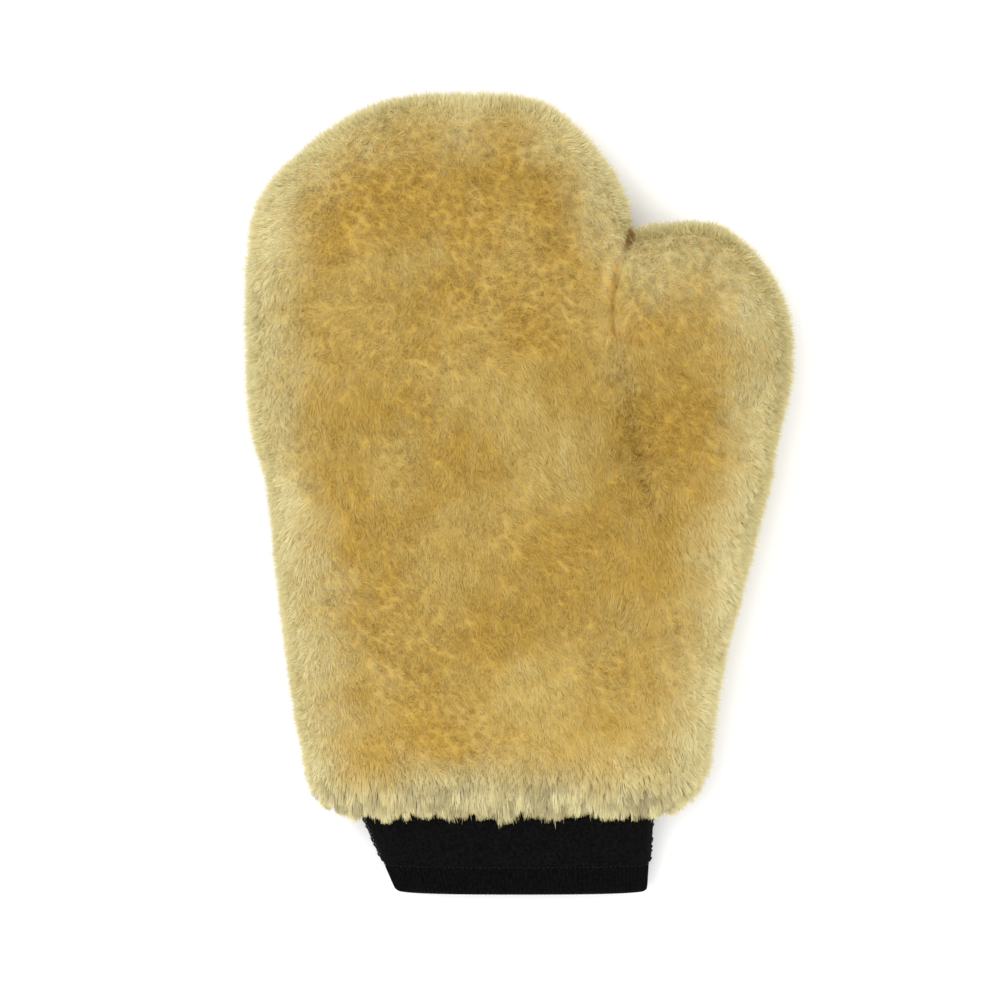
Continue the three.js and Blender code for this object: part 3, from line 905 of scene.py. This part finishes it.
def overlock(name, node, share, start=4.0, end=31.0):
    """Thread wound over the seam down one side of the cuff, with a few loops standing proud."""
    pitch, per_turn, reach = 0.75, 12, 0.0030
    turns = int((end - start) / pitch)
    angle = np.arange(turns * per_turn) / per_turn * 2 * math.pi
    loose = RNG.random(turns) < 0.25
    proud = np.repeat(np.where(loose, 1.7, RNG.uniform(0.7, 1.1, turns)), per_turn)
    along = start + angle / (2 * math.pi) * pitch + 0.3 * np.sin(angle)
    path = on_cuff(along, 0.1 - 0.55 * proud * np.cos(angle), share + reach * np.sin(angle))
    piece = threads(name, [path], 0.27)
    place_wrist_piece(piece)
    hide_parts(node)


def hem_stitches(count=130):
    """The row of stitches over the elastic's casing, sunk into the groove above the hem."""
    paths = []
    for i in range(count):
        share = (i + np.linspace(0.14, 0.86, 6)) / count
        bow = np.sin(np.linspace(0, math.pi, 6))
        paths.append(on_cuff(HEM_SEAM + 0.12 * (-1) ** i, HEM_GROOVE - 0.42 * bow, share))
    piece = threads("hem_stitches", paths, 0.20)
    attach(piece, "cuff")
    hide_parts("cuff_hem_stitching")


build_cuff()
overlock("cuff_outer_overlock", "cuff_outer_side_seam", 0.5)
overlock("cuff_thumb_overlock", "cuff_thumb_side_seam", 0.0)
hem_stitches()

# ---- Camera, floor and light, in metres ---------------------------------------------------------

LENS = 0.100
SENSOR = 0.036
FRAME_WIDTH = 0.365
FRAME_CENTRE = (-0.0069, -0.0020)
FLOOR_HALF = 4.0
SKY = 0.84


def build_camera():
    camera = bpy.data.objects.new("camera", bpy.data.cameras.new("camera"))
    camera.data.lens = LENS / MM
    camera.data.sensor_width = SENSOR / MM
    camera.data.clip_start = 0.01
    camera.location = (*FRAME_CENTRE, SEAM_Z * MM + FRAME_WIDTH * LENS / SENSOR)
    bpy.context.scene.collection.objects.link(camera)
    bpy.context.scene.camera = camera


def build_floor():
    corners = FLOOR_HALF / MM * np.array([[-1, -1, 0], [1, -1, 0], [1, 1, 0], [-1, 1, 0]])
    floor = mesh_piece("floor", corners, np.array([[0, 1, 2, 3]]), smooth=False)
    floor.data.materials.append(new_material("pale_floor", 0.9, 0.0, (0.93, 0.93, 0.93))[0])


def softbox(name, place, size, power):
    """A square light that faces the mitt."""
    light = bpy.data.lights.new(name, "AREA")
    light.shape = "SQUARE"
    light.size = size
    light.energy = power
    holder = bpy.data.objects.new(name, light)
    holder.location = place
    holder.rotation_euler = (-Vector(place)).to_track_quat("-Z", "Y").to_euler()
    bpy.context.scene.collection.objects.link(holder)


def build_sky():
    world = bpy.data.worlds.new("studio")
    world.use_nodes = True
    background = world.node_tree.nodes["Background"]
    background.inputs["Color"].default_value = (1, 1, 1, 1)
    background.inputs["Strength"].default_value = SKY
    bpy.context.scene.world = world


build_camera()
build_floor()
softbox("key", (-0.6, 0.15, 1.6), 1.2, 19)
softbox("fill", (0.8, -0.5, 1.4), 1.4, 10)
build_sky()
bpy.context.scene.view_settings.view_transform = "Standard"
